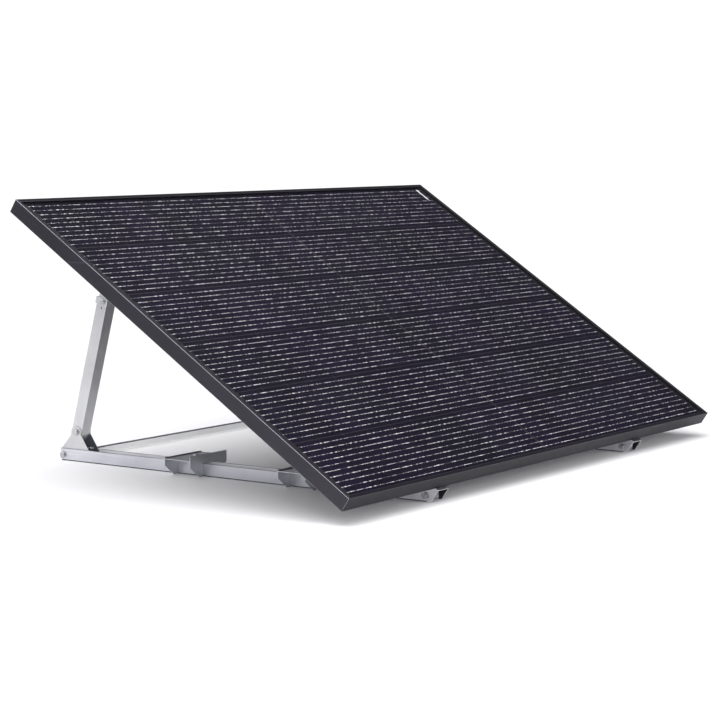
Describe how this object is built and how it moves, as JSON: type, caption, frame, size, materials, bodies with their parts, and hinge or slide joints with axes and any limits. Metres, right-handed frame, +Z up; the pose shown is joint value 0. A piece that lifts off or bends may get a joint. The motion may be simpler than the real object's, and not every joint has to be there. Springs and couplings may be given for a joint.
{
  "type": "solar panel with tilt stands",
  "caption": "Framed black photovoltaic module held at a tilt by a pair of hinged alloy stands with telescopic rear legs, ballast brackets and a rear cross bar.",
  "frame": {"origin": "on the ground under the middle of the whole object", "axes": "+X along the long side of the module, +Y towards its raised edge, +Z up"},
  "size_m": [1.722, 1.163, 0.6789],
  "materials": {
    "black_frame": "black anodised, satin",
    "front_glass": "clear solar glass over black cells",
    "cells": "black monocrystalline cells in clear encapsulant",
    "backsheet": "black polymer sheet",
    "black_plastic": "moulded, fine texture",
    "diode": "moulded",
    "mill_alloy": "mill finish, bright satin",
    "galvanised_steel": "galvanised sheet",
    "bolt_steel": "stainless"
  },
  "bodies": {
    "base": {"base_rail_left": "mill_alloy", "base_rail_right": "mill_alloy", "foot_shoe_left": "mill_alloy", "foot_shoe_right": "mill_alloy", "cross_bar": "galvanised_steel", "ballast_bracket_front_left": "galvanised_steel", "ballast_bracket_front_right": "galvanised_steel", "ballast_bracket_rear_left": "galvanised_steel", "ballast_bracket_rear_right": "galvanised_steel", "ballast_bolt_front_left": "bolt_steel", "ballast_bolt_front_right": "bolt_steel", "ballast_bolt_rear_left": "bolt_steel", "ballast_bolt_rear_right": "bolt_steel", "hinge_bolt_left": "bolt_steel", "hinge_bolt_right": "bolt_steel", "foot_bolt_left": "bolt_steel", "foot_bolt_right": "bolt_steel", "shoe_bolt_left": "bolt_steel", "shoe_bolt_right": "bolt_steel", "rail_end_bolt_left": "bolt_steel", "rail_end_bolt_right": "bolt_steel"},
    "module": {"frame_front": "black_frame", "frame_rear": "black_frame", "frame_left": "black_frame", "frame_right": "black_frame", "corner_key_front_left": "mill_alloy", "corner_key_front_right": "mill_alloy", "corner_key_rear_left": "mill_alloy", "corner_key_rear_right": "mill_alloy", "front_glass": "front_glass", "cell_layer": "cells", "backsheet": "backsheet", "junction_box_1": "black_plastic", "junction_box_2": "black_plastic", "junction_box_3": "black_plastic", "junction_box_lid_1": "black_plastic", "junction_box_lid_2": "black_plastic", "junction_box_lid_3": "black_plastic", "bypass_diode_1": "diode", "bypass_diode_2": "diode", "bypass_diode_3": "diode", "cable_gland_left": "black_plastic", "cable_gland_right": "black_plastic", "top_rail_left": "mill_alloy", "top_rail_right": "mill_alloy", "module_bolt_front_left": "bolt_steel", "module_bolt_front_right": "bolt_steel", "module_bolt_rear_left": "bolt_steel", "module_bolt_rear_right": "bolt_steel", "leg_top_bolt_left": "bolt_steel", "leg_top_bolt_right": "bolt_steel"},
    "lower_leg_left": {"lower_leg_left": "mill_alloy", "leg_collar_left": "galvanised_steel", "clamp_screw_left": "bolt_steel"},
    "lower_leg_right": {"lower_leg_right": "mill_alloy", "leg_collar_right": "galvanised_steel", "clamp_screw_right": "bolt_steel"},
    "upper_leg_left": {"upper_leg_left": "mill_alloy"},
    "upper_leg_right": {"upper_leg_right": "mill_alloy"}
  },
  "joints": [
    {"name": "module_tilt", "type": "hinge", "parent": "base", "child": "module", "pos_m": [0, -0.53302, 0.0155], "axis": [1, 0, 0], "range_deg": [-6.9, 5.1]},
    {"name": "leg_swing_left", "type": "hinge", "parent": "base", "child": "lower_leg_left", "pos_m": [-0.471, 0.52948, 0.075], "axis": [1, 0, 0], "range_deg": [-4.3, 3.2]},
    {"name": "leg_slide_left", "type": "slide", "parent": "lower_leg_left", "child": "upper_leg_left", "axis": [0, -0.2625, 0.9649], "range_m": [-0.128, 0.095]},
    {"name": "leg_swing_right", "type": "hinge", "parent": "base", "child": "lower_leg_right", "pos_m": [0.471, 0.52948, 0.075], "axis": [1, 0, 0], "range_deg": [-4.3, 3.2]},
    {"name": "leg_slide_right", "type": "slide", "parent": "lower_leg_right", "child": "upper_leg_right", "axis": [0, -0.2625, 0.9649], "range_m": [-0.128, 0.095]}
  ],
  "couplings": [
    {"joint": "leg_swing_left", "follows": "module_tilt", "ratio": 0.61},
    {"joint": "leg_slide_left", "follows": "module_tilt", "m_per_rad": 1.044},
    {"joint": "leg_swing_right", "follows": "module_tilt", "ratio": 0.61},
    {"joint": "leg_slide_right", "follows": "module_tilt", "m_per_rad": 1.044}
  ]
}
